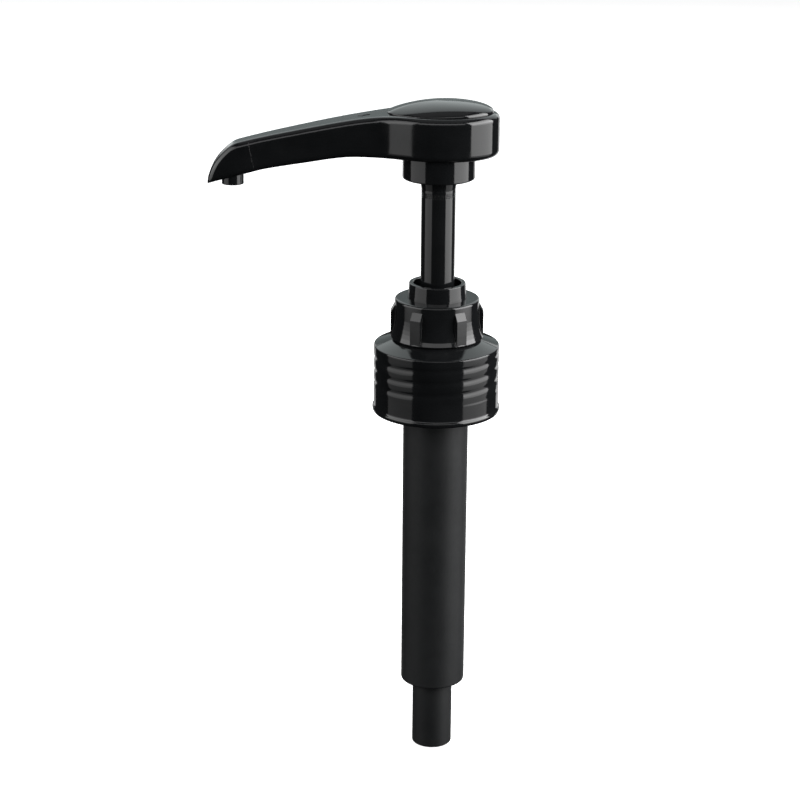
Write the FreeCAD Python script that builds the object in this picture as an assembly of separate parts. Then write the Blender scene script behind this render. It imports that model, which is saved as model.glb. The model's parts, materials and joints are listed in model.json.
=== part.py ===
import FreeCAD, Part
import math
import os

os.makedirs("parts", exist_ok=True)
V = FreeCAD.Vector

# Hand pump for thick sauces that screws onto a bottle with a 38 mm neck.
# All sizes are millimetres. The origin is on the pump's axis, in the plane where the
# gasket rests on the bottle's rim. +Z is up and the spout points along -X.

# --- clearances -----------------------------------------------------------------
RUN = 0.06            # radial gap of a part that turns or slides in another
PLUG = 0.02           # radial gap of a part that is plugged in and stays
SLACK = 0.10          # axial gap between parts that turn or slide on each other

# --- cylinder ---------------------------------------------------------------------
barrel_r = 11.0
barrel_wall = 1.8
barrel_length = 117.3     # from the bottle's rim down to the shoulder of the foot
barrel_floor = 2.0
barrel_edge = 0.6
foot_r = 6.9
foot_length = 24.5
foot_edge = 0.5
dip_tube_r = 5.0
dip_tube_depth = 20.0
gasket_thickness = 1.4
flange_thickness = 1.6
neck_wall = 3.5           # wall of the threaded neck, thread included
neck_land = 0.2           # the plain land stands this far out of the thread's crest
neck_thread_depth = 0.8
neck_thread_pitch = 3.0
neck_thread_turns = 2.5
neck_thread_start = 1.0
nut_thread_gap = 0.1

# --- bottle closure ---------------------------------------------------------------
closure_r = 21.0
closure_wall = 2.0
closure_depth = 18.2      # rim of the closure below the bottle's rim
closure_top_wall = 1.6
closure_edge_round = 0.9
lip_out = 0.55
lip_height = 2.0
lip_undercut = 0.3
shoulder_rise = 2.5       # the sloping top between the outer edge and the hub
hub_beyond_nut = 0.5      # the hub's radius beyond the valleys of the nut
flange_inset = 1.5        # the flange's edge inside the closure's bore
finish_pitch = 4.233      # thread of a 38-400 neck, six turns to the inch
finish_thread_depth = 1.1
finish_thread_turns = 2.25
finish_thread_start = 4.0     # from the closure's rim to the thread's first turn

# --- lock nut ---------------------------------------------------------------------
nut_wall = 1.4            # from the neck thread's crest to the valleys between the lobes
nut_flare = 1.45          # how far the sharp rim stands out
nut_flare_height = 7.1
nut_rim_edge = 0.4        # undercut below the nut's sharp rim
nut_height = 13.5
nut_top_wall = 1.4
nut_round = 0.8
lobe_count = 6
lobe_width = 3.7
lobe_phase = 31.4         # degrees from the front to the first lobe
lobe_below_top = 2.2
lobe_bevel_height = 2.4

# --- guide bush -------------------------------------------------------------------
bush_flange_inset = 1.1   # the flange's edge inside the neck thread's crest
bush_flange_thickness = 1.1
ring_beyond_bore = 0.55   # the splash ring's foot beyond the cylinder's bore
ring_taper = 0.35
ring_wall = 1.8
ring_height = 5.2         # above the nut
ring_round = 0.35
recess_depth = 1.2        # floor of the ring's recess below the nut's top
sleeve_below_rim = 2.0    # how far the bush reaches below the bottle's rim
bearing_length = 11.7
wiper_groove = 1.9
wiper_height = 2.4
wiper_lip = 0.5
wiper_lip_gap = 0.03
oring_width = 1.6
oring_round = 0.4

# --- plunger ------------------------------------------------------------------------
stroke = 38.0
stem_r = 5.65
stem_bore_r = 3.2
stem_spigot_r = 4.2
stem_spigot_length = 14.0
groove_count = 3
groove_first = 1.15       # from the boss down to the first groove
groove_pitch = 0.57
groove_depth = 0.3
groove_half_width = 0.2
boss_flare = 0.8
boss_height = 5.0
boss_drop = 3.55          # foot of the boss below the rim of the skirt
skirt_gap = 0.4           # between the skirt's bore and the splash ring's foot
skirt_wall = 1.75
skirt_height = 7.75
skirt_round = 0.5

# --- piston -------------------------------------------------------------------------
seal_height = 11.0
seal_waist_gap = 1.2      # from the bore to the seal's waist
seal_lip = 0.9
seal_land = 1.0
seal_groove = 1.8
seal_groove_depth = 2.6
core_post_r = 4.6
core_flange_gap = 1.3
core_flange_thickness = 2.2
core_spigot_length = 8.0
core_bore_r = 1.6
outlet_ball_r = 2.6
outlet_ball_travel = 2.0
stop_height = 2.5
stop_slot = 1.5
stop_rim = 0.7

# --- inlet valve and spring -----------------------------------------------------------
inlet_hole_r = 2.6
inlet_ball_r = 4.0
inlet_ball_travel = 3.0
cage_gap = 0.3
cage_wall = 1.2
cage_base = 1.6
cage_window = 2.6
spring_gap = 2.3          # from the bore to the wire's centre
wire_r = 0.6
spring_coils = 13

# --- head ---------------------------------------------------------------------------
head_height = 14.1        # from the head's flat underside to its top edge
head_back = 18.6          # half length of the egg's round end
head_centre = 1.0         # centre of the round end, behind the axis
head_half_width = 14.7
head_edge_round = 2.1
head_wall = 2.2
spout_reach = 75.5        # from the axis to the front of the nose
spout_width = 9.0
brow_drop = 9.9           # where the flat top turns down into the nose, below the top edge
brow_back = 10.2          # and how far behind the front of the nose
nose_drop = 9.65          # foot of the nose below the head's underside
slope_drop = 4.8          # underside of the spout ahead of the nose, below the head's
slope_back = 17.8
channel_r = 2.7
channel_wall = 1.4
channel_below_top = 3.8
channel_drop = 10.7       # how far the outlet channel falls from the stem to the nipple
seam_back = 15.0          # where the snap-on nose parts from the spout
seam_lean = 1.8
cap_inset = 2.0           # from the head's outline to the domed inlay
cap_seat = 0.5            # depth of the step that the inlay sits in
cap_gap = 0.12
cap_crown = 3.85          # top of the dome above the head's top edge
cap_crown_reach = 4.2     # half axes of the dome's ellipsoid beyond the head's outline
cap_crown_side = 0.9
cap_crown_depth = 7.2
cap_plate = 2.0
cap_rim_inset = 1.6
cap_rim_wall = 1.35
cap_rim_height = 1.8
cap_rim_gap = 0.05
tip_spigot_r = 3.9
tip_spigot_length = 5.0
tip_spigot_root = 4.0
nipple_r = 3.6
nipple_bore_r = 2.3
nipple_back = 8.1         # from the front of the nose to the nipple's axis
nipple_below = 1.7        # how far the nipple reaches below the rim of its pocket
nipple_rim = 8.4          # the pocket's rim below the head's underside
nipple_bore_depth = 11.0
pocket_height = 6.0
pocket_half_width = 3.2

# --- radii that follow -------------------------------------------------------------------
bore_r = barrel_r - barrel_wall
sleeve_r = bore_r - PLUG
neck_thread_r = bore_r + neck_wall
neck_minor_r = neck_thread_r - neck_thread_depth
neck_r = neck_thread_r + neck_land
nut_r = neck_thread_r + nut_wall
nut_rim_r = nut_r + nut_flare
hub_r = nut_r + hub_beyond_nut
closure_bore_r = closure_r - closure_wall
flange_r = closure_bore_r - flange_inset
bush_flange_r = neck_thread_r - bush_flange_inset
ring_r = bore_r + ring_beyond_bore
ring_top_r = ring_r - ring_taper
ring_inner_r = ring_r - ring_wall
wiper_r = bore_r - wiper_groove
boss_top_r = stem_r + boss_flare
skirt_inner_r = ring_r + skirt_gap
skirt_r = skirt_inner_r + skirt_wall
seal_waist_r = bore_r - seal_waist_gap
core_flange_r = bore_r - core_flange_gap
spring_mean_r = bore_r - spring_gap
cage_r = inlet_ball_r + cage_gap

# --- heights that follow ---------------------------------------------------------------
closure_rim_z = -closure_depth
flange_top = gasket_thickness + flange_thickness
closure_ceiling = flange_top + SLACK
closure_edge_top = closure_ceiling + closure_top_wall
hub_top = closure_edge_top + shoulder_rise
nut_bottom = hub_top + 2 * SLACK
nut_top = nut_bottom + nut_height
nut_ceiling = nut_top - nut_top_wall
neck_top = nut_ceiling - SLACK - bush_flange_thickness
ring_top = nut_top + ring_height
recess_floor = nut_top - recess_depth
bearing_z = recess_floor - bearing_length
boss_z = recess_floor + SLACK + stroke
skirt_z = boss_z + boss_drop
head_z = skirt_z + skirt_height
head_top = head_z + head_height
channel_z = head_top - channel_below_top
barrel_z = -barrel_length
floor_z = barrel_z + barrel_floor
foot_z = barrel_z - foot_length
oring_z = neck_top - 4 * oring_width
seal_top = -sleeve_below_rim - SLACK
seal_z = seal_top - seal_height
core_z = seal_z - core_flange_thickness
core_top = seal_top + core_spigot_length
cap_floor = head_top - cap_seat
pocket_z = head_z - nipple_rim
nipple_z = pocket_z - nipple_below

# --- ball valves: each seat is a 45 degree cone whose wide end is as wide as the ball ------
inlet_seat_depth = inlet_ball_r - inlet_hole_r
inlet_ball_z = floor_z - inlet_seat_depth - inlet_hole_r + inlet_ball_r * math.sqrt(2) + PLUG
cage_ceiling = inlet_ball_z + inlet_ball_r + inlet_ball_travel + PLUG
outlet_seat_depth = outlet_ball_r - core_bore_r
outlet_ball_z = core_top - outlet_seat_depth - core_bore_r + outlet_ball_r * math.sqrt(2) + PLUG
stop_z = outlet_ball_z + outlet_ball_r + outlet_ball_travel + PLUG

# --- outlet channel and nose ---------------------------------------------------------------
nipple_x = nipple_back - spout_reach
seam_x = seam_back - spout_reach
channel_slope = math.atan2(channel_drop, -nipple_x)
channel_way = V(-math.cos(channel_slope), 0, -math.sin(channel_slope))
seam_distance = -seam_x


def ring(outer, inner, z0, z1):
    """A plain tube about the axis."""
    tube = Part.makeCylinder(outer, z1 - z0, V(0, 0, z0))
    return tube.cut(Part.makeCylinder(inner, z1 - z0 + 2, V(0, 0, z0 - 1)))


def disc(radius, z0, z1):
    return Part.makeCylinder(radius, z1 - z0, V(0, 0, z0))


def turned(points):
    """A solid of revolution about the axis from (radius, height) corners."""
    wire = Part.makePolygon([V(r, 0, z) for r, z in points + points[:1]])
    return Part.Face(wire).revolve(V(0, 0, 0), V(0, 0, 1), 360)


def rounded(shape, radius, where):
    """Fillets the edges that the test picks."""
    edges = [e for e in shape.Edges if where(e)]
    return shape.makeFillet(radius, edges) if edges else shape


def at_circle(radius, z, near=1e-3):
    """A test for full or partial circles of this radius at this height."""
    def test(edge):
        box = edge.BoundBox
        wide = max(abs(box.XMin), abs(box.XMax), abs(box.YMin), abs(box.YMax))
        flat = abs(box.ZMin - z) < near and abs(box.ZMax - z) < near
        return flat and abs(wide - radius) < near
    return test


def helical_ridge(wall_r, depth, pitch, turns, z0, half_root, half_crest):
    """A thread's ridge on a wall: outwards for a positive depth, inwards for a negative one."""
    sunk = -math.copysign(0.2, depth)
    path = Part.Wire(Part.makeHelix(pitch, pitch * turns, wall_r))
    corners = [(wall_r + sunk, half_root), (wall_r + depth, half_crest),
               (wall_r + depth, -half_crest), (wall_r + sunk, -half_root)]
    profile = Part.makePolygon([V(r, 0, z) for r, z in corners + corners[:1]])
    ridge = path.makePipeShell([profile], True, True)
    ridge.translate(V(0, 0, z0))
    return ridge


def fused(first, *others):
    for other in others:
        first = first.fuse(other)
    return first.removeSplitter()


def cross_slots(body, width, length, z0, z1):
    """Cuts two slots that cross on the axis."""
    for turn in range(2):
        slot = Part.makeBox(length, width, z1 - z0, V(-length / 2, -width / 2, z0))
        slot.rotate(V(0, 0, 0), V(0, 0, 1), 90 * turn)
        body = body.cut(slot)
    return body


def save(name, shape):
    solids = shape.Solids
    if len(solids) == 1:
        shape = solids[0]
    print(name, "solids", len(solids), "valid", shape.isValid(), "volume", round(shape.Volume, 1))
    shape.exportStep("parts/" + name + ".step")


# --- bottle closure ---------------------------------------------------------------------
def closure():
    lip_r = closure_r + lip_out
    lip_top = closure_rim_z + lip_height
    body = turned([
        (closure_bore_r, closure_rim_z), (lip_r - lip_undercut, closure_rim_z),
        (lip_r, lip_top - lip_out), (closure_r, lip_top), (closure_r, closure_edge_top),
        (hub_r, hub_top), (neck_r + RUN, hub_top), (neck_r + RUN, closure_ceiling),
        (closure_bore_r, closure_ceiling)])
    body = rounded(body, closure_edge_round, at_circle(closure_r, closure_edge_top))
    thread = helical_ridge(closure_bore_r, -finish_thread_depth, finish_pitch, finish_thread_turns,
                           closure_rim_z + finish_thread_start, 1.15, 0.45)
    return fused(body, thread)


def gasket():
    return ring(flange_r - PLUG, barrel_r + PLUG, 0, gasket_thickness)


# --- cylinder ---------------------------------------------------------------------------
def cylinder():
    outside = fused(
        disc(foot_r, foot_z, barrel_z + 1), disc(barrel_r, barrel_z, flange_top),
        disc(flange_r, gasket_thickness, flange_top), disc(neck_r, flange_top, nut_bottom),
        disc(neck_minor_r, nut_bottom, neck_top))
    outside = rounded(outside, barrel_edge, at_circle(barrel_r, barrel_z))
    outside = rounded(outside, foot_edge, at_circle(foot_r, foot_z))
    inside = fused(disc(bore_r, floor_z, neck_top + 1), disc(inlet_hole_r, foot_z - 1, floor_z + 1),
                   disc(dip_tube_r, foot_z - 1, foot_z + dip_tube_depth))
    seat = Part.makeCone(inlet_hole_r, inlet_ball_r, inlet_seat_depth,
                         V(0, 0, floor_z - inlet_seat_depth))
    thread = helical_ridge(neck_minor_r, neck_thread_depth, neck_thread_pitch, neck_thread_turns,
                           nut_bottom + neck_thread_start, 0.6, 0.3)
    return fused(outside.cut(inside).cut(seat), thread)


def inlet_ball():
    return Part.makeSphere(inlet_ball_r, V(0, 0, inlet_ball_z))


def inlet_cage():
    """Holds the inlet ball, and its base is the spring's lower seat."""
    base_top = floor_z + cage_base
    top = cage_ceiling + cage_wall
    body = fused(disc(bore_r - 2 * PLUG, floor_z, base_top), disc(cage_r + cage_wall, floor_z, top))
    body = body.cut(disc(cage_r, floor_z - 1, cage_ceiling))
    body = body.cut(disc(inlet_hole_r, cage_ceiling - 1, top + 1))
    return cross_slots(body, cage_window, 4 * cage_r, base_top + 1, cage_ceiling - 1)


# --- guide bush, its seals and the nut -----------------------------------------------------
def guide_bush():
    flange_z = neck_top + bush_flange_thickness
    body = turned([
        (sleeve_r, -sleeve_below_rim), (sleeve_r, neck_top), (bush_flange_r, neck_top),
        (bush_flange_r, flange_z), (ring_r, flange_z), (ring_r, nut_top), (ring_top_r, ring_top),
        (ring_inner_r, ring_top), (ring_inner_r, recess_floor), (stem_r + RUN, recess_floor),
        (stem_r + RUN, bearing_z), (wiper_r, bearing_z), (wiper_r, -sleeve_below_rim)])
    body = body.cut(ring(sleeve_r + 1, sleeve_r - oring_width, oring_z, oring_z + oring_width))
    body = rounded(body, ring_round, at_circle(ring_top_r, ring_top))
    return rounded(body, ring_round, at_circle(ring_inner_r, ring_top))


def stem_wiper():
    """Lip ring that strips the sauce off the stem on its way up."""
    lip_r = stem_r + wiper_lip_gap
    outer = wiper_r - PLUG
    z1 = bearing_z - PLUG
    z0 = z1 - wiper_height
    return turned([(outer, z0), (outer, z1), (lip_r + wiper_lip, z1),
                   (lip_r + wiper_lip, z0 + 2 * wiper_lip), (lip_r, z0 + wiper_lip / 2), (lip_r, z0)])


def bush_oring():
    body = ring(bore_r - PLUG, sleeve_r - oring_width + PLUG, oring_z + PLUG,
                oring_z + oring_width - PLUG)
    return rounded(body, oring_round, lambda edge: True)


def lock_nut():
    """Six-lobed nut, flared at its foot, that clamps the bush on the cylinder's neck."""
    root_r = neck_thread_r + nut_thread_gap
    rim_z = nut_bottom + nut_rim_edge
    steps = 5
    flare = [(nut_r + nut_flare * (1 - k / steps) ** 2, rim_z + nut_flare_height * k / steps)
             for k in range(steps + 1)]
    body = turned([(0, nut_bottom), (nut_rim_r - nut_rim_edge, nut_bottom)] + flare
                  + [(nut_r, nut_top), (0, nut_top)])
    body = rounded(body, nut_round, at_circle(nut_r, nut_top))
    lobe_top = nut_top - lobe_below_top
    reach = nut_rim_r - nut_rim_edge / 4
    side = [(neck_thread_r, rim_z), (reach, rim_z), (reach, lobe_top - lobe_bevel_height),
            (nut_r, lobe_top), (neck_thread_r, lobe_top)]
    wire = Part.makePolygon([V(0, -r, z) for r, z in side + side[:1]])
    for index in range(lobe_count):
        lobe = Part.Face(wire).extrude(V(lobe_width, 0, 0))
        lobe.translate(V(-lobe_width / 2, 0, 0))
        lobe.rotate(V(0, 0, 0), V(0, 0, 1), lobe_phase + index * 360 / lobe_count)
        body = body.fuse(lobe)
    body = body.cut(disc(root_r, nut_bottom - 1, nut_ceiling))
    body = body.cut(disc(ring_r + PLUG, nut_bottom, nut_top + 1)).removeSplitter()
    thread_z = nut_bottom + neck_thread_start + neck_thread_pitch / 2
    thread = helical_ridge(root_r, nut_thread_gap - neck_thread_depth, neck_thread_pitch,
                           neck_thread_turns, thread_z, 0.6, 0.3)
    return fused(body, thread)


# --- stem, piston and outlet valve ------------------------------------------------------------
def stem():
    spigot_top = boss_z + stem_spigot_length
    body = fused(disc(stem_r, seal_top, boss_z), disc(stem_spigot_r - PLUG, boss_z - 1, spigot_top))
    body = body.cut(disc(stem_bore_r, seal_top - 1, spigot_top + 1))
    for index in range(groove_count):
        z = boss_z - groove_first - index * groove_pitch
        body = body.cut(turned([(stem_r + 0.1, z - groove_half_width),
                                (stem_r + 0.1, z + groove_half_width), (stem_r - groove_depth, z)]))
    return body


def piston_seal():
    """Cup seal with one lip up and one lip down, both wiping the bore."""
    lip_r = bore_r - RUN / 2
    inner = core_post_r + PLUG
    middle = (seal_top + seal_z) / 2
    half = (seal_top - seal_z) / 2
    post = seal_waist_r - seal_groove - seal_lip / 2
    floor = seal_waist_r - seal_lip / 2
    upper = [(seal_waist_r, seal_land + 0.5), (lip_r, half - seal_land), (lip_r, half),
             (lip_r - seal_lip, half), (floor, half - seal_groove_depth),
             (post, half - seal_groove_depth), (post, half), (inner, half)]
    lower = [(r, -z) for r, z in reversed(upper)]
    return turned([(r, middle + z) for r, z in upper + lower])


def piston_core():
    """Carries the seal, plugs into the stem and holds the outlet valve's seat."""
    body = fused(disc(core_flange_r, core_z, seal_z), disc(core_post_r, seal_z - 1, seal_top),
                 disc(stem_bore_r - PLUG, seal_top - 1, core_top))
    body = body.cut(disc(core_bore_r, core_z - 1, core_top + 1))
    return body.cut(Part.makeCone(core_bore_r, outlet_ball_r, outlet_seat_depth,
                                  V(0, 0, core_top - outlet_seat_depth)))


def outlet_ball():
    return Part.makeSphere(outlet_ball_r, V(0, 0, outlet_ball_z))


def ball_stop():
    """Slotted bush in the stem that stops the outlet ball's lift."""
    body = disc(stem_bore_r - PLUG, stop_z, stop_z + stop_height)
    return cross_slots(body, stop_slot, 2 * (stem_bore_r - stop_rim), stop_z - 1,
                       stop_z + stop_height + 1)


def return_spring():
    """Compression spring with ground ends, between the cage's base and the piston."""
    z0 = floor_z + cage_base + PLUG
    z1 = core_z - PLUG
    pitch = (z1 - z0) / spring_coils
    path = Part.Wire(Part.makeHelix(pitch, pitch * (spring_coils + 0.5), spring_mean_r))
    section = Part.Wire(Part.makeCircle(wire_r, V(spring_mean_r, 0, 0), V(0, 1, 0)))
    coil = path.makePipeShell([section], True, True)
    coil.translate(V(0, 0, z0 - pitch / 4))
    return coil.common(ring(spring_mean_r + 2 * wire_r, spring_mean_r - 2 * wire_r, z0, z1))


# --- head --------------------------------------------------------------------------------------
def spline(points, start, end):
    curve = Part.BSplineCurve()
    curve.interpolate(Points=points, InitialTangent=start, FinalTangent=end)
    return curve.toShape()


def mirrored_outline(length, half_width, flank, front):
    """A closed outline: half an ellipse at the back and two mirrored flanks."""
    oval = Part.Ellipse(V(head_centre, 0, 0), length, half_width)
    back = Part.ArcOfEllipse(oval, -math.pi / 2, math.pi / 2).toShape()
    points = [V(head_centre, half_width, 0)] + [V(x, y, 0) for x, y in flank]
    upper = spline(points, V(-1, 0, 0), front)
    lower = upper.mirror(V(0, 0, 0), V(0, 1, 0))
    edges = [back, upper, lower]
    x_end, y_end = flank[-1]
    if y_end:
        edges.append(Part.makeLine(V(x_end, y_end, 0), V(x_end, -y_end, 0)))
    return Part.Wire(Part.__sortEdges__(edges))


def prism(wire, z0, z1):
    face = Part.Face(wire)
    face.translate(V(0, 0, z0))
    return face.extrude(V(0, 0, z1 - z0))


def head_outline():
    """An egg about the stem that runs out into the tapering spout."""
    half_spout = spout_width / 2
    flank = [(-6.3, head_half_width - 1.1), (-13.5, head_half_width - 4.1),
             (-20.5, half_spout + 3.5), (-28.0, half_spout + 2.45), (-spout_reach / 2, half_spout + 1.9),
             (seam_x + 2.5, half_spout + 0.6), (-spout_reach - 2, half_spout)]
    return mirrored_outline(head_back, head_half_width, flank, V(-1, -0.03, 0))


def cap_outline(inset=0.0):
    """The drop-shaped outline of the domed inlay; the inset is measured from its edge."""
    half_width = head_half_width - cap_inset - inset
    flank = [(-7.0, half_width - 1.4), (-12.2, half_width - 4.4),
             (-15.3 + 0.7 * inset, half_width - 7.5 + 0.3 * inset), (-16.8 + inset, 0)]
    return mirrored_outline(head_back - cap_inset - inset, half_width, flank, V(0, -1, 0))


def side_profile():
    """The head and spout seen from the side."""
    def point(x, z):
        return V(x, 0, z)
    top_start = point(-9, head_top)
    brow = point(brow_back - spout_reach, head_top - brow_drop)
    nose_foot = point(-spout_reach, head_z - nose_drop)
    heel = point(-26.0, head_z)
    slope_end = point(slope_back - spout_reach, head_z - slope_drop)
    fall = V(-1, 0, -0.27)
    top = spline([top_start, point(-26, head_top - 1.5), point(-0.6 * spout_reach, head_top - 5.25), brow],
                 V(-1, 0, 0), fall)
    nose = spline([brow, point(5.9 - spout_reach, brow.z - 2.65), point(2.6 - spout_reach, brow.z - 6.35),
                   point(0.5 - spout_reach, brow.z - 10.7), nose_foot], fall, V(-0.05, 0, -1))
    under = spline([heel, point((heel.x + slope_end.x) / 2, head_z - 0.4 * slope_drop), slope_end],
                   V(-1, 0, 0), V(-1, 0, -0.22))
    back_x = 2 * head_back
    corners = [heel, point(back_x, head_z), point(back_x, head_top), top_start]
    straight = [Part.makeLine(a, b) for a, b in zip(corners, corners[1:])]
    return Part.Wire(Part.__sortEdges__([top, nose, Part.makeLine(nose_foot, slope_end), under] + straight))


def on_underside(edge):
    """Underside edges: level with the head's flat underside or below the sloping one."""
    for k in range(5):
        p = edge.valueAt(edge.FirstParameter + (edge.LastParameter - edge.FirstParameter) * (k + 0.5) / 5)
        if p.z > head_z + 0.5 + max(-nose_drop, 0.17 * min(0.0, p.x + 26.0)):
            return False
    return True


def head_blank():
    """Head and spout as one outer form, before the nozzle tip is parted off."""
    face = Part.Face(side_profile())
    face.translate(V(0, -2 * head_back, 0))
    side = face.extrude(V(0, 4 * head_back, 0))
    blank = prism(head_outline(), head_z - 2 * nose_drop, head_top + 10).common(side).removeSplitter()

    def along_top(edge):
        mid = edge.valueAt((edge.FirstParameter + edge.LastParameter) / 2)
        crosswise = edge.BoundBox.YLength > 0 and abs(mid.y) < 1e-3 and mid.x < 0
        return not crosswise and edge.Length > 8 and not on_underside(edge)
    return rounded(blank, head_edge_round, along_top)


def channel(radius, length, start=0.0):
    """A round bar along the outlet channel, which falls from the stem's axis to the nose."""
    return Part.makeCylinder(radius, length, V(0, 0, channel_z) + channel_way * start, channel_way)


def tip_side():
    """Everything beyond the leaning seam where the nozzle tip snaps on."""
    far = -2 * spout_reach
    high = head_top
    low = head_z - 2 * nose_drop
    lean = seam_lean / (head_height - brow_drop + slope_drop)
    middle = (high + low) / 2
    corners = [(seam_x + (middle - high) * lean, high), (far, high), (far, low),
               (seam_x + (middle - low) * lean, low)]
    wide = 2 * spout_width
    face = Part.Face(Part.makePolygon([V(x, -wide, z) for x, z in corners + corners[:1]]))
    return face.extrude(V(0, 2 * wide, 0))


def head_shell():
    body = head_blank().cut(tip_side())
    skirt = rounded(ring(skirt_r, skirt_inner_r, skirt_z, head_z + 0.5), skirt_round,
                    at_circle(skirt_r, skirt_z))
    boss = Part.makeCone(stem_r, boss_top_r, boss_height, V(0, 0, boss_z))
    post = disc(boss_top_r, boss_z + boss_height, head_z + 0.5)
    body = fused(body, skirt, boss, post)
    inner = prism(cap_outline(cap_rim_inset), head_z + head_wall, head_top + 1)
    keep = fused(disc(boss_top_r, head_z, channel_z + 1.0), channel(channel_r + channel_wall, 30))
    body = body.cut(inner.cut(keep))
    body = body.cut(prism(cap_outline(-cap_gap), cap_floor, head_top + 5))
    root = seam_distance - tip_spigot_root
    body = fused(body, channel(tip_spigot_r, tip_spigot_length + tip_spigot_root, root))
    body = body.cut(channel(channel_r, seam_distance + 2 * tip_spigot_length))
    body = body.cut(disc(stem_spigot_r, boss_z - 1, boss_z + stem_spigot_length + PLUG))
    return body.cut(disc(stem_bore_r, boss_z, channel_z + 0.5))


def head_cap():
    """Domed inlay that snaps into the head and closes the hollow under it."""
    crown = Part.makeSphere(1.0)
    scale = FreeCAD.Matrix()
    scale.scale(head_back + cap_crown_reach, head_half_width + cap_crown_side, cap_crown_depth)
    crown = crown.transformGeometry(scale)
    crown.translate(V(head_centre, 0, head_top + cap_crown - cap_crown_depth))
    dome = prism(cap_outline(), cap_floor, head_top + 10).common(crown)
    hollow = crown.copy()
    hollow.translate(V(0, 0, -cap_plate))
    rim_in = cap_rim_inset + cap_rim_wall
    dome = dome.cut(prism(cap_outline(rim_in), cap_floor - 1, head_top + 10).common(hollow))
    rim = prism(cap_outline(cap_rim_inset + cap_rim_gap), cap_floor - cap_rim_height, cap_floor + 0.3)
    rim = rim.cut(prism(cap_outline(rim_in), cap_floor - 2 * cap_rim_height, cap_floor + 1))
    return fused(dome, rim.cut(channel(channel_r + channel_wall + 2 * cap_rim_gap, 40)))


def nozzle_tip():
    """Snap-on nose that turns the flow down into the outlet nipple."""
    body = head_blank().common(tip_side())
    back = nipple_x + nipple_r - 0.7
    front = nipple_x - nipple_r
    low = pocket_z - pocket_height
    high = pocket_z + pocket_height
    sides = [(front - 3.1, low), (front - 3.1, pocket_z + 1.0), (front - 2.0, pocket_z + 4.2),
             (front - 0.2, high), (back, high), (back, low)]
    wire = Part.makePolygon([V(x, -pocket_half_width, z) for x, z in sides + sides[:1]])
    body = body.cut(Part.Face(wire).extrude(V(0, 2 * pocket_half_width, 0)))
    nipple = Part.makeCylinder(nipple_r, high + 2 - nipple_z, V(nipple_x, 0, nipple_z))
    body = fused(body, nipple)
    root = seam_distance - tip_spigot_root
    body = body.cut(channel(tip_spigot_r + PLUG, tip_spigot_length + tip_spigot_root + PLUG, root))
    reach = -nipple_x / math.cos(channel_slope)
    body = body.cut(channel(channel_r, reach - seam_distance, seam_distance))
    return body.cut(Part.makeCylinder(nipple_bore_r, nipple_bore_depth + 1, V(nipple_x, 0, nipple_z - 1)))


for make in (closure, gasket, cylinder, inlet_ball, inlet_cage, guide_bush, stem_wiper, bush_oring,
             lock_nut, stem, piston_seal, piston_core, outlet_ball, ball_stop, return_spring,
             head_shell, head_cap, nozzle_tip):
    save(make.__name__, make())
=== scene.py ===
# %% [markdown]
# # A condiment pump and its finishes
# The pump is a family of injection-moulded polypropylene parts: a head with a long spout, a stem,
# a lobed nut and a screw closure, with a long polyethylene cylinder below. The frame gives every
# piece at its real place and size. This lesson gives each piece its surface: the gloss of polished
# mould steel, the small sink marks over thick walls, and the light of a plain white studio.

# %% Load the frame
import bpy
import json
import math
from mathutils import Matrix, Vector


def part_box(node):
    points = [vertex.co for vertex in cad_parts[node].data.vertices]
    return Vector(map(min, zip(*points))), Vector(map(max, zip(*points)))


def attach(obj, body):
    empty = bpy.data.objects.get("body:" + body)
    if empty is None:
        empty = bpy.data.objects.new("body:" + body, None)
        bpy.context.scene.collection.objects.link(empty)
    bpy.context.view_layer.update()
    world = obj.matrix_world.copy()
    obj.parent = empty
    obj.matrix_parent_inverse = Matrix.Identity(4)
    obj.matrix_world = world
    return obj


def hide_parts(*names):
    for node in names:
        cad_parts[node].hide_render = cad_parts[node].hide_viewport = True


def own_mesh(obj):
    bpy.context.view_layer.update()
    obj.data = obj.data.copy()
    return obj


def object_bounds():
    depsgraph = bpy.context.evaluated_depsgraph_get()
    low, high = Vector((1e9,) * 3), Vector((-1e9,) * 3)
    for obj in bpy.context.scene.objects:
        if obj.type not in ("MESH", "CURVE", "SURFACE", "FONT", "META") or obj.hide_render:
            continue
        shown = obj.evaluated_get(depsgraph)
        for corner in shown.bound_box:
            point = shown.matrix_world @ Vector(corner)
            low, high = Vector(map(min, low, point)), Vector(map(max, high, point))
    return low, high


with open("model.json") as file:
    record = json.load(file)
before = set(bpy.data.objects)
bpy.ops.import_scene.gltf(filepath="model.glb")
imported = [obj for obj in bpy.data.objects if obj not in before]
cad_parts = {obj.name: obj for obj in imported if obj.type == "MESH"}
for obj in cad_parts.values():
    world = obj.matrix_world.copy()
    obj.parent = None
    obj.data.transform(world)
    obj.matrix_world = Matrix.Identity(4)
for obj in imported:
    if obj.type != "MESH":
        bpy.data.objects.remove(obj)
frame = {"nodes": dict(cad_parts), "record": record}
cad_low, cad_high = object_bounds()
MM = 0.001
scene = bpy.context.scene
print("CAD box, mm:", [round(v / MM, 1) for v in (*cad_low, *cad_high)])

# %% [markdown]
# ## The camera
# A tall, slim thing is best seen through a long lens from a little above, so that the
# verticals stay nearly parallel and the tops of the head, nut and closure all show. The lens is twice
# the normal length and stands about 0.77 m away. It looks down 18 degrees and leans by less than half
# a degree, as a hand-levelled tripod does.

# %% Camera
AIM = Vector((-12.1 * MM, 0.0, -15.3 * MM))       # a little to the spout's side of the pump's axis
CAMERA_DISTANCE = 769 * MM
FOCAL_LENGTH = 102.5                              # the lens, in millimetres, on a 36 mm sensor
LOOK_DOWN = math.radians(18.2)
LEAN = math.radians(0.46)

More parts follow.
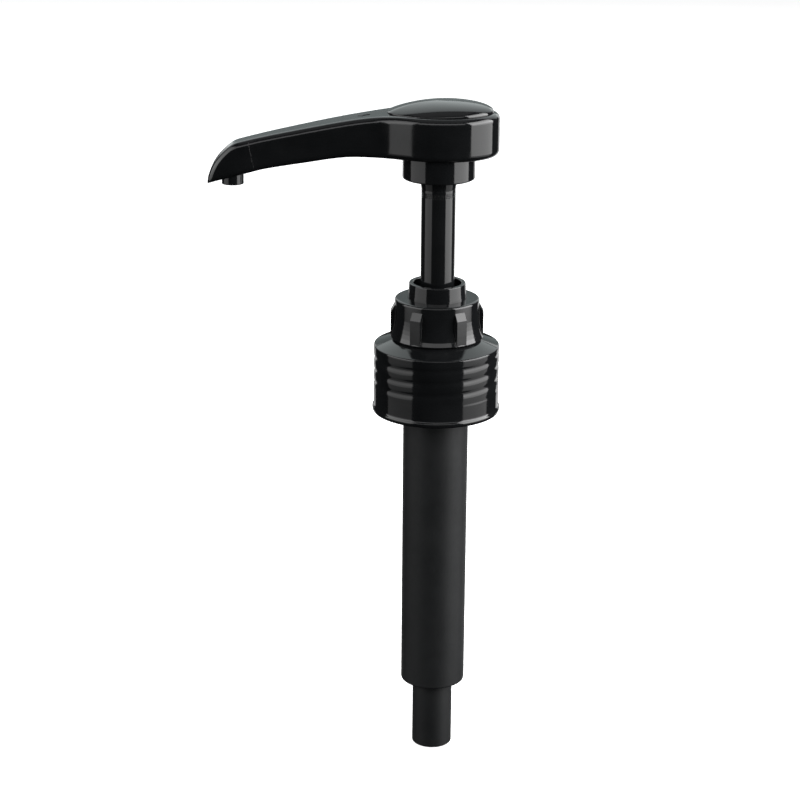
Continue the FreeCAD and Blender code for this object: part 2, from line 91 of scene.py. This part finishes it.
camera_data = bpy.data.cameras.new("camera")
camera_data.lens = FOCAL_LENGTH
camera_data.sensor_width = 36.0
camera_data.clip_start = 0.01
camera = bpy.data.objects.new("camera", camera_data)
scene.collection.objects.link(camera)
scene.camera = camera
back = Vector((0.0, -math.cos(LOOK_DOWN), math.sin(LOOK_DOWN)))
camera.location = AIM + back * CAMERA_DISTANCE
turn = Matrix.Rotation(math.pi / 2 - LOOK_DOWN, 4, "X") @ Matrix.Rotation(LEAN, 4, "Z")
camera.rotation_euler = turn.to_euler()
print("camera at, mm:", [round(v / MM) for v in camera.location])

# %% [markdown]
# ## The studio
# Gloss black shows almost nothing of its own colour: it shows the room. Two tall softboxes stand left
# and right of the camera and draw the long upright bands on every round part, and the dark gap between
# them draws the dark middle band. Each softbox glows most a little above its middle, where its bulb is,
# so a wall that leans back shows more light than an upright one. A white card stands behind and above
# the head and lights its dome and the flat of the spout, while the nut and the closure lie too low to
# see it. A low strip in front and above draws the thin line along every rounded upper edge, and two
# slim lights far behind draw the line down the outermost edge of each side. An environment picture
# could give such reflections too, but area lights keep each band's place and width in plain numbers.

# %% A softbox
FOCUS = Vector((0.0, 0.0, -20 * MM))     # the lights look at the middle of the pump


def softbox(name, azimuth, elevation, distance, width, height, radiance, colour=(1.0, 1.0, 1.0), glow=None):
    """An area light round the pump: azimuth 0 is the camera's side and +90 the right.
    glow lists (share of the height, share of the radiance) from the foot to the top."""
    a, e = math.radians(azimuth), math.radians(elevation)
    out = Vector((math.sin(a) * math.cos(e), -math.cos(a) * math.cos(e), math.sin(e)))
    data = bpy.data.lights.new(name, "AREA")
    data.shape = "RECTANGLE"
    data.size, data.size_y = width, height
    data.energy = radiance * math.pi * width * height      # watts, for this radiance over the panel
    data.color = colour
    if glow:
        data.use_nodes = True
        tree = data.node_tree
        place = tree.nodes.new("ShaderNodeNewGeometry")
        split = tree.nodes.new("ShaderNodeSeparateXYZ")
        ramp = tree.nodes.new("ShaderNodeValToRGB")
        tree.links.new(place.outputs["Parametric"], split.inputs["Vector"])
        tree.links.new(split.outputs["Y"], ramp.inputs["Fac"])
        stops = ramp.color_ramp.elements
        while len(stops) < len(glow):
            stops.new(0.5)
        for stop, (where, level) in zip(stops, glow):
            stop.position = where
            stop.color = (level, level, level, 1.0)
        tree.links.new(ramp.outputs["Color"], tree.nodes["Emission"].inputs["Strength"])
    lamp = bpy.data.objects.new(name, data)
    lamp.location = FOCUS + out * distance
    lamp.rotation_euler = (-out).to_track_quat("-Z", "Y").to_euler()
    lamp.visible_camera = False
    scene.collection.objects.link(lamp)
    print(name, "at", [round(v, 2) for v in lamp.location])
    return lamp


# %% Place the lights
# A softbox's glow, from its foot to its top: share of the height, share of the radiance.
bulb = [(0.0, 0.08), (0.247, 0.12), (0.268, 0.30), (0.36, 0.36),
        (0.48, 0.6), (0.60, 1.0), (0.80, 0.75), (1.0, 0.45)]
softbox("softbox left", -72, 8, 1.1, 1.2, 1.9, 3.2, glow=bulb)
softbox("softbox right", 78, 8, 1.1, 1.25, 1.9, 9.5, glow=bulb)
softbox("room behind", 180, 30, 1.5, 2.4, 1.7, 0.36, (0.88, 1.0, 1.0))
softbox("card behind the head", 180, 45, 0.60, 1.3, 0.48, 0.9, (0.94, 1.0, 1.0))
softbox("overhead", 0, 88, 1.3, 1.2, 1.2, 0.25)
softbox("strip above the camera", 0, 33, 1.4, 1.9, 0.5, 1.5)
softbox("rim light right", 155, -12, 1.2, 0.4, 1.5, 1.1)
softbox("rim light left", -158, -12, 1.2, 0.3, 1.5, 0.7)

world = bpy.data.worlds.new("dim room")
scene.world = world
world.use_nodes = True
world.node_tree.nodes["Background"].inputs["Color"].default_value = (0.012, 0.013, 0.014, 1.0)
print("world", world.name)

# %% [markdown]
# ## Colours and shader nodes
# Colours are written as the sRGB hex values that a designer would note down, and one function turns
# them to the linear light that the renderer needs. One more function adds a shader node with its
# settings and links, so that each material below reads as a short recipe.

# %% Helpers for materials


def srgb(text):
    """Linear RGBA of a hex colour such as #1a1b1c."""
    parts = [int(text[k:k + 2], 16) / 255 for k in (1, 3, 5)]
    return (*[v / 12.92 if v <= 0.04045 else ((v + 0.055) / 1.055) ** 2.4 for v in parts], 1.0)


def add(tree, kind, settings=None, inputs=None):
    """One shader node: settings are its own fields, inputs are socket values or sockets to link."""
    made = tree.nodes.new("ShaderNode" + kind)
    for field, value in (settings or {}).items():
        setattr(made, field, value)
    for socket, value in (inputs or {}).items():
        if isinstance(value, bpy.types.NodeSocket):
            tree.links.new(value, made.inputs[socket])
        else:
            made.inputs[socket].default_value = value
    return made


def start_material(name, **constants):
    """A new material, its tree, its Principled shader with these constants, and the object's own space."""
    made = bpy.data.materials.new(name)
    made.use_nodes = True
    shader = made.node_tree.nodes["Principled BSDF"]
    for socket, value in constants.items():
        shader.inputs[socket.replace("_", " ")].default_value = value
    return made, made.node_tree, shader, add(made.node_tree, "TexCoord").outputs["Object"]


def per_mm(period):
    """A texture scale in repeats per metre from the size of one repeat in millimetres."""
    return 1.0 / (period * MM)


def varied(tree, where, period, low, high, detail=3.0):
    """A value that drifts between low and high in patches of this size in millimetres."""
    noise = add(tree, "TexNoise", {}, {"Vector": where, "Scale": per_mm(period), "Detail": detail})
    return add(tree, "MapRange", {}, {"Value": noise.outputs["Fac"], "From Min": 0.3, "From Max": 0.7,
                                      "To Min": low, "To Max": high}).outputs["Result"]


def two_tone(tree, shader, where, period, dark, light):
    """Base colour that drifts between two near shades."""
    mix = add(tree, "MixRGB", {}, {"Fac": varied(tree, where, period, 0.0, 1.0), "Color1": srgb(dark),
                                   "Color2": srgb(light)})
    tree.links.new(mix.outputs["Color"], shader.inputs["Base Color"])


def relief(tree, shader, where, layers, edge=0.0):
    """Bumps stacked from (period in mm, height in mm, detail), over edges softened by a radius in mm."""
    normal = None
    if edge:
        normal = add(tree, "Bevel", {"samples": 6}, {"Radius": edge * MM}).outputs["Normal"]
    for period, height, detail in layers:
        noise = add(tree, "TexNoise", {}, {"Vector": where, "Scale": per_mm(period), "Detail": detail})
        bump = add(tree, "Bump", {}, {"Height": noise.outputs["Fac"], "Distance": height * MM})
        if normal is not None:
            tree.links.new(normal, bump.inputs["Normal"])
        normal = bump.outputs["Normal"]
    tree.links.new(normal, shader.inputs["Normal"])


# %% [markdown]
# ## Gloss black polypropylene
# The head, stem, nut and closure are moulded in black polypropylene against polished steel. The
# plastic copies the polish, so the surface is a soft mirror. What tells it from painted metal is a faint
# waviness where the skin cooled unevenly, patches that are a little duller, and hair-fine scuffs from the
# bag that it was shipped in. Each of these is its own noise, at its own real size. No moulded edge is
# perfectly sharp, so the shader softens each one by a fifth of a millimetre.

# %% Gloss black polypropylene
EDGE_SOFTNESS = 0.2       # radius of a moulded edge, in mm


def moulded_gloss_black(name, rough=0.09, peel=0.004):
    made, tree, shader, where = start_material(name, IOR=1.49)
    two_tone(tree, shader, where, 9.0, "#0f1011", "#151617")
    long_ways = add(tree, "Mapping", {}, {"Vector": where, "Rotation": (0.5, 0.9, 0.3),
                                          "Scale": (1.0, 14.0, 1.0)})
    scuffed = varied(tree, long_ways.outputs["Vector"], 7.0, -0.10, 0.05, 6.0)
    total = add(tree, "Math", {"operation": "MAXIMUM"},
                {0: varied(tree, where, 5.0, rough * 0.75, rough * 1.3), 1: scuffed})
    tree.links.new(total.outputs["Value"], shader.inputs["Roughness"])
    relief(tree, shader, where, [(2.4, peel, 1.0), (11.0, 8 * peel, 0.0)], edge=EDGE_SOFTNESS)
    return made


gloss_black = moulded_gloss_black("moulded polypropylene, gloss black")

# %% [markdown]
# ## Satin black polyethylene
# The cylinder is moulded in tougher polyethylene, from a mould core that was only stoned, not polished.
# Its fine grain spreads every reflection, so the softbox bands melt into soft grey stripes.

# %% Satin black polyethylene


def moulded_satin_black(name):
    made, tree, shader, where = start_material(name, IOR=1.51, Specular_IOR_Level=0.3)
    two_tone(tree, shader, where, 14.0, "#161718", "#1c1d1e")
    tree.links.new(varied(tree, where, 3.0, 0.5, 0.6), shader.inputs["Roughness"])
    relief(tree, shader, where, [(0.5, 0.004, 3.0)], edge=EDGE_SOFTNESS)
    return made


satin_black = moulded_satin_black("moulded polyethylene, satin black")

# %% [markdown]
# ## The hidden parts
# The valve cage, piston and stop are natural polyethylene, which is milky and lets a little light in.
# The wiper and the ring are nitrile rubber, the gasket is foam sheet, the balls are ground glass and
# the spring is drawn stainless wire. They hardly show when the pump is whole, but the library's users
# take pumps apart, so each has its true finish.

# %% Natural polyethylene, rubber and foam
natural_pe, tree, shader, where = start_material("natural polyethylene, as moulded", IOR=1.51,
                                                 Subsurface_Weight=0.25, Subsurface_Scale=2 * MM)
two_tone(tree, shader, where, 8.0, "#dcdcd2", "#e8e8e0")
tree.links.new(varied(tree, where, 4.0, 0.38, 0.5), shader.inputs["Roughness"])
relief(tree, shader, where, [(0.8, 0.006, 2.0)], edge=0.15)

nitrile, tree, shader, where = start_material("nitrile rubber, moulded", IOR=1.52)
two_tone(tree, shader, where, 3.0, "#242424", "#303030")
tree.links.new(varied(tree, where, 1.5, 0.6, 0.75), shader.inputs["Roughness"])
relief(tree, shader, where, [(0.25, 0.006, 3.0)])

foam_pe, tree, shader, where = start_material("polyethylene foam sheet, die cut", IOR=1.5)
two_tone(tree, shader, where, 1.2, "#deded6", "#efefe9")
tree.links.new(varied(tree, where, 0.6, 0.75, 0.9), shader.inputs["Roughness"])
cells = add(tree, "TexVoronoi", {}, {"Vector": where, "Scale": per_mm(0.35)})
bump = add(tree, "Bump", {}, {"Height": cells.outputs["Distance"], "Distance": 0.05 * MM})
tree.links.new(bump.outputs["Normal"], shader.inputs["Normal"])

# %% Glass and spring steel
ball_glass, tree, shader, where = start_material("soda-lime glass ball, ground", IOR=1.52,
                                                 Transmission_Weight=1.0)
two_tone(tree, shader, where, 4.0, "#eef4f0", "#f6faf7")
tree.links.new(varied(tree, where, 1.0, 0.02, 0.12), shader.inputs["Roughness"])

spring_steel, tree, shader, where = start_material("stainless spring wire, drawn", Metallic=1.0)
two_tone(tree, shader, where, 2.0, "#a7a6a2", "#bcbbb7")
tree.links.new(varied(tree, where, 0.4, 0.22, 0.38), shader.inputs["Roughness"])
relief(tree, shader, where, [(0.15, 0.003, 2.0)])

# %% [markdown]
# ## A finish for each piece
# The record names a finish for each piece, so the pieces are dressed by looking their finish up, and a
# piece that is added to the record is dressed without a change here.

# %% Give each CAD piece its material
finishes = {"gloss_black_pp": gloss_black, "satin_black_pe": satin_black, "natural_pe": natural_pe,
            "nitrile": nitrile, "foam_pe": foam_pe, "spring_steel": spring_steel, "ball_glass": ball_glass}
slots = {part["node"]: part["material_slot"] for part in frame["record"]["subparts"]}
for node_name, piece in frame["nodes"].items():
    piece.data.materials.clear()
    piece.data.materials.append(finishes[slots[node_name]])
print(len(slots), "pieces have", len(set(slots.values())), "finishes")

# %% [markdown]
# ## Turned meshes
# The closure's outside isn't a plain cylinder. The thick thread inside cools last and pulls the wall
# in behind it, which leaves a shallow spiral sink outside. So the closure is turned afresh as a mesh: a
# loop of (radius, height) corners goes round the axis, and a small function shifts each point in or out
# by its angle and height. The same function raises the thread inside.

# %% A turned mesh


def stepped(corners, step):
    """The closed loop of corners with extra points, no further apart than the step, in mm."""
    loop = []
    for (r0, z0), (r1, z1) in zip(corners, corners[1:] + corners[:1]):
        count = max(1, math.ceil(math.hypot(r1 - r0, z1 - z0) / step))
        loop += [(r0 + (r1 - r0) * k / count, z0 + (z1 - z0) * k / count) for k in range(count)]
    return loop


def eased(corners, radius, points=4):
    """The loop with every corner rounded by this radius, where its sides are long enough."""
    loop = []
    for before, here, after in zip(corners[-1:] + corners[:-1], corners, corners[1:] + corners[:1]):
        a, b, c = Vector(before), Vector(here), Vector(after)
        cut = min(radius, (a - b).length * 0.45, (c - b).length * 0.45)
        p, q = b + (a - b).normalized() * cut, b + (c - b).normalized() * cut
        for k in range(points + 1):
            t = k / points
            loop.append(tuple(p * (1 - t) ** 2 + b * 2 * t * (1 - t) + q * t ** 2))
    return loop


def turned(name, loop, segments, shift=None):
    """A closed body of revolution; shift(radius, angle, height) moves a point in or out, in mm."""
    corners, faces = [], []
    for k in range(segments):
        angle = 2 * math.pi * k / segments
        for r, z in loop:
            out = r + (shift(r, angle, z) if shift else 0.0)
            corners.append((out * math.cos(angle) * MM, out * math.sin(angle) * MM, z * MM))
    n = len(loop)
    for k in range(segments):
        here, there = k * n, ((k + 1) % segments) * n
        faces += [(here + i, there + i, there + (i + 1) % n, here + (i + 1) % n) for i in range(n)]
    mesh = bpy.data.meshes.new(name)
    mesh.from_pydata(corners, [], faces)
    mesh.polygons.foreach_set("use_smooth", [True] * len(faces))
    mesh.update()
    made = bpy.data.objects.new(name, mesh)
    scene.collection.objects.link(made)
    print(name, len(faces), "faces")
    return made


# %% [markdown]
# ## The closure
# Its box in the frame gives the rim, the top of the hub and the lip's radius. The rest are the wall's
# own sizes. The spiral starts above the plain lower wall, and it climbs as a right-handed thread does.
# A bump texture could draw the sink on a plain wall, but then the outline would stay straight.

# %% Sizes of the closure
closure_low, closure_high = (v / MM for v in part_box("closure"))
rim_z, hub_z, lip_r = closure_low.z, closure_high.z, closure_high.x
LIP_OUT = 0.55            # the lip at the rim stands out this far
WALL = 2.0
outer_r = lip_r - LIP_OUT
bore_r = outer_r - WALL
FLANGE, FLOAT = 1.6, 0.1  # the cylinder's flange lies on the gasket, with a little play over it
TOP_WALL = 1.6
gasket_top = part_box("gasket")[1].z / MM
ceiling_z = gasket_top + FLANGE + FLOAT
edge_z = ceiling_z + TOP_WALL
hub_r, hole_r = 14.6, 12.96
PITCH = 4.233             # six turns to the inch
THREAD_DEPTH = 1.1
SAME_WALL = 0.01          # a point this near a wall's radius belongs to that wall
THREAD_FROM, THREAD_TO = 3.0, 15.0        # heights over the rim between which the thread runs
THREAD_HALF_WIDTH, THREAD_FLANK = 1.15, 0.6
SINK_DEPTH = 0.2
SINK_FROM, SINK_FADE_IN = 7.0, 2.5        # height over the rim, and the height it takes to deepen
SINK_MARGIN, SINK_FADE_OUT = 1.6, 1.5     # distance below the shoulder, and the height it takes to end
# Shares of a turn: where the wall stays full, and the thread's crest, where the sink outside is deepest.
FULL_WALL_AT, THREAD_AT = 0.35, 0.85
print("closure's rim, ceiling and hub, mm:", round(rim_z, 2), round(ceiling_z, 2), round(hub_z, 2))

# %% The sink and the thread


def spiral(angle, z):
    """Place in the thread's turn, from 0 to 1, at this angle and height."""
    return ((z - rim_z) / PITCH - angle / (2 * math.pi)) % 1.0


def clamped(share):
    """The share, held between 0 and 1."""
    return min(1.0, max(0.0, share))


def closure_shift(r, angle, z):
    """How far this point of the closure moves out, in mm: the sink outside and the thread inside."""
    if abs(r - outer_r) < SAME_WALL:
        rise = clamped((z - rim_z - SINK_FROM) / SINK_FADE_IN)
        rise *= clamped((edge_z - SINK_MARGIN - z) / SINK_FADE_OUT)
        wave = 0.5 - 0.5 * math.cos(2 * math.pi * (spiral(angle, z) - FULL_WALL_AT))
        return -SINK_DEPTH * rise * wave ** 2
    if abs(r - bore_r) < SAME_WALL and rim_z + THREAD_FROM < z < rim_z + THREAD_TO:
        away = abs(spiral(angle, z) - THREAD_AT)
        away = min(away, 1 - away) * PITCH
        return -THREAD_DEPTH * clamped((THREAD_HALF_WIDTH - away) / THREAD_FLANK)
    return 0.0


print("a thread turn every", PITCH, "mm")

# %% Turn the closure
LIP_ROUND, LIP_HEIGHT, LIP_BLEND = 0.3, 1.3, 2.0
CORNER_ROUND, STEP, SEGMENTS = 0.35, 0.3, 288
corners = [(bore_r, rim_z), (lip_r - LIP_ROUND, rim_z), (lip_r, rim_z + LIP_HEIGHT),
           (outer_r, rim_z + LIP_BLEND), (outer_r, edge_z), (hub_r, hub_z), (hole_r, hub_z),
           (hole_r, ceiling_z), (bore_r, ceiling_z)]
closure = turned("closure_moulding", stepped(eased(corners, CORNER_ROUND), STEP), SEGMENTS, closure_shift)
closure.data.materials.append(gloss_black)
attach(closure, "closure")
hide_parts("closure")

# %% [markdown]
# ## The domed inlay
# The head is moulded open at the top, so that its walls stay even, and a domed inlay snaps in to close
# it. Its outline is an egg with its point towards the spout. The dome is full at the round end and
# slopes down gently to the point. Rings of points shrink from the outline to the crown, and each ring's
# height follows a rounded curve that ends steeply at the rim, as a moulded edge does. A sculpted or
# subdivided cage could give a dome too, but rings keep the rim exactly on the frame's own outline.

# %% Sizes of the inlay
cap_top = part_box("head_cap")[1].z / MM
cap_piece = frame["nodes"]["head_cap"]
PROUD = 0.15              # the dome starts this far over the head's top
rim_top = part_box("head_shell")[1].z / MM + PROUD
CAP_CENTRE = Vector((1.0, 0.0))
SPOKES, RINGS = 192, 40
SMALLEST_RING = 0.002     # share of the outline that stays open at the crown, and is then closed
EDGE_DEPTH = 0.65         # the inlay's upright edge, in mm
# The dome's curve is a power: a small one at the round end makes it full, and more towards the point.
ROUND_END, SLOPE = 0.45, 0.4
print("dome rises", round(cap_top - rim_top, 2), "mm")

# %% The inlay's outline


def outline_radius(points, angle):
    """How far the points reach from the cap's centre in this direction, by their convex hull."""
    way = Vector((math.cos(angle), math.sin(angle)))
    best = 0.0
    for a, b in zip(points, points[1:] + points[:1]):
        edge = b - a
        bottom = way.x * edge.y - way.y * edge.x
        if abs(bottom) < 1e-12:
            continue
        distance = (a.x * edge.y - a.y * edge.x) / bottom
        along = (a.x * way.y - a.y * way.x) / bottom
        if distance > 0 and -1e-6 <= along <= 1 + 1e-6:
            best = max(best, distance)
    return best


def hull(points):
    """The convex hull of 2-D points, anticlockwise."""
    points = sorted(set(points))
    chains = []
    for run in (points, points[::-1]):
        chain = []
        for p in run:
            while len(chain) > 1 and ((chain[-1][0] - chain[-2][0]) * (p[1] - chain[-2][1])
                                      - (chain[-1][1] - chain[-2][1]) * (p[0] - chain[-2][0])) <= 0:
                chain.pop()
            chain.append(p)
        chains += chain[:-1]
    return chains


# The outline is measured once for each spoke.
cap_points = hull([(round(v.co.x / MM, 4), round(v.co.y / MM, 4)) for v in cap_piece.data.vertices])
cap_edge = [Vector(p) - CAP_CENTRE for p in cap_points]
reaches = [outline_radius(cap_edge, 2 * math.pi * k / SPOKES) for k in range(SPOKES)]
print("outline of", len(cap_points), "points")

# %% Domed inlay
corners, faces = [], []
for ring in range(RINGS + 2):
    share = 1.0 if ring > RINGS else math.sin(math.pi / 2 * ring / RINGS)
    for k in range(SPOKES):
        angle = 2 * math.pi * k / SPOKES
        reach = reaches[k] * max(share, SMALLEST_RING)
        fullness = ROUND_END + SLOPE * (0.5 - 0.5 * math.cos(angle)) ** 2
        height = rim_top + (cap_top - rim_top) * max(0.0, 1 - share * share) ** fullness
        if ring > RINGS:
            height = rim_top - EDGE_DEPTH
        x = CAP_CENTRE.x + reach * math.cos(angle)
        corners.append((x * MM, reach * math.sin(angle) * MM, height * MM))
for ring in range(RINGS + 1):
    for k in range(SPOKES):
        here, beside = ring * SPOKES + k, ring * SPOKES + (k + 1) % SPOKES
        faces.append((here, here + SPOKES, beside + SPOKES, beside))
faces += [tuple(range(SPOKES)), tuple(range((RINGS + 2) * SPOKES - 1, (RINGS + 1) * SPOKES - 1, -1))]
dome_mesh = bpy.data.meshes.new("domed_inlay")
dome_mesh.from_pydata(corners, [], faces)
dome_mesh.polygons.foreach_set("use_smooth", [True] * len(faces))
dome = bpy.data.objects.new("domed_inlay", dome_mesh)
scene.collection.objects.link(dome)
dome_mesh.materials.append(gloss_black)
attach(dome, "plunger")
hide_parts("head_cap")
print("dome", len(faces), "faces")

# %% [markdown]
# ## A mark on the spout
# The top of the spout carries a small raised mark beside the dome. A generic arrow stands in for it. It
# points along the spout, and it is a sixth of a millimetre high, as such marks are. Its corners are laid
# on the spout by a ray from above, so it follows the slope, and its underside is sunk into the plastic.

# %% Arrow
RAISED, THICKNESS = 0.16, 0.3
shell_piece = frame["nodes"]["head_shell"]


def top_of_spout(x, y):
    """Height of the spout's upper face here, in metres."""
    hit, point, _, _ = shell_piece.ray_cast(Vector((x * MM, y * MM, cad_high.z + 0.01)), Vector((0, 0, -1)))
    return point.z if hit else 0.0


TIP_X, NECK_X, TAIL_X = -26.6, -24.9, -22.6
HEAD_HALF, SHAFT_HALF = 1.5, 0.55
ARROW = [(TIP_X, 0.0), (NECK_X, HEAD_HALF), (NECK_X, SHAFT_HALF), (TAIL_X, SHAFT_HALF),
         (TAIL_X, -SHAFT_HALF), (NECK_X, -SHAFT_HALF), (NECK_X, -HEAD_HALF)]
raised = [(x * MM, y * MM, top_of_spout(x, y) + RAISED * MM) for x, y in ARROW]
sunk = [(x, y, z - THICKNESS * MM) for x, y, z in raised]
count = len(ARROW)
walls = [(k, (k + 1) % count, count + (k + 1) % count, count + k) for k in range(count)]
arrow_mesh = bpy.data.meshes.new("spout_arrow")
arrow_mesh.from_pydata(raised + sunk, [],
                       [tuple(range(count))[::-1], tuple(range(count, 2 * count))] + walls)
arrow = bpy.data.objects.new("spout_arrow", arrow_mesh)
scene.collection.objects.link(arrow)
arrow_mesh.materials.append(gloss_black)
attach(arrow, "plunger")
print("arrow at", round(raised[0][2] / MM, 1), "mm")

# %% [markdown]
# ## The return spring
# Thirteen and a half coils of drawn wire stand between the valve cage and the piston, with their ends
# ground flat. A curve with a round bevel could draw the wire, but the ground ends need a mesh of its own.

# %% A coil of wire


def coil(name, low, high, mean_r, wire_r, turns, per_turn=48, around=12):
    """A wire helix whose end points are flattened onto the two seats, in mm."""
    corners, faces = [], []
    count = int(turns * per_turn)
    for k in range(count + 1):
        angle = 2 * math.pi * k / per_turn
        middle = low + (high - low) * k / count
        for j in range(around):
            b = 2 * math.pi * j / around
            r = mean_r + wire_r * math.cos(b)
            z = min(high, max(low, middle + wire_r * math.sin(b)))
            corners.append((r * math.cos(angle) * MM, r * math.sin(angle) * MM, z * MM))
    for k in range(count):
        here, there = k * around, (k + 1) * around
        faces += [(here + j, there + j, there + (j + 1) % around, here + (j + 1) % around)
                  for j in range(around)]
    faces += [tuple(range(around)), tuple(count * around + j for j in range(around))[::-1]]
    mesh = bpy.data.meshes.new(name)
    mesh.from_pydata(corners, [], faces)
    mesh.polygons.foreach_set("use_smooth", [True] * len(faces))
    made = bpy.data.objects.new(name, mesh)
    scene.collection.objects.link(made)
    print(name, round(high - low, 1), "mm tall")
    return made


# %% Return spring
MEAN_R, WIRE_R, TURNS = 6.9, 0.6, 13.5
spring_low, spring_high = (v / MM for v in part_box("return_spring"))
spring = coil("return_spring_wire", spring_low.z, spring_high.z, MEAN_R, WIRE_R, TURNS)
spring.data.materials.append(spring_steel)
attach(spring, "housing")
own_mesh(spring)
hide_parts("return_spring")

# %% [markdown]
# ## The floor
# The pump is shown on plain white. A board just under its foot glows a little, so that it stays white
# to the edge, and the gloss parts don't mirror it, as if the pump had been cut out of its background.
# Far out the board curves up into a wall, so that a low view meets white all round too.

# %% The floor's shape
floor_z = cad_low.z - 0.5 * MM
# Metres: the innermost ring, the bend's radius, the wall's height and its distance.
CENTRE, BEND, WALL_TOP, FAR = 0.001, 1.0, 4.0, 4.0
BEND_STEPS, SIDES = 16, 96
profile = [(CENTRE, 0.0)]
for k in range(BEND_STEPS + 1):
    t = math.pi / 2 * k / BEND_STEPS
    profile.append((FAR - BEND + BEND * math.sin(t), BEND - BEND * math.cos(t)))
profile.append((FAR, WALL_TOP))
corners, faces = [], []
for k in range(SIDES):
    angle = 2 * math.pi * k / SIDES
    corners += [(r * math.cos(angle), r * math.sin(angle), floor_z + z) for r, z in profile]
    here, there = k * len(profile), (k + 1) % SIDES * len(profile)
    faces += [(here + i, here + i + 1, there + i + 1, there + i) for i in range(len(profile) - 1)]
faces.append(tuple(k * len(profile) for k in range(SIDES))[::-1])
floor_mesh = bpy.data.meshes.new("floor")
floor_mesh.from_pydata(corners, [], faces)
floor_mesh.polygons.foreach_set("use_smooth", [True] * len(floor_mesh.polygons))
floor = bpy.data.objects.new("floor", floor_mesh)
scene.collection.objects.link(floor)
print("floor", len(faces), "faces")

# %% The floor's board
board, tree, shader, where = start_material("matt white board", Emission_Strength=0.82)
two_tone(tree, shader, where, 60.0, "#f2f2f2", "#f6f6f6")
tree.links.new(varied(tree, where, 30.0, 0.85, 0.95), shader.inputs["Roughness"])
shader.inputs["Emission Color"].default_value = (1.0, 1.0, 1.0, 1.0)
floor_mesh.materials.append(board)
floor.visible_glossy = False
floor.visible_diffuse = False
scene.view_settings.view_transform = "Standard"
print("floor at", round(floor_z / MM, 1), "mm")
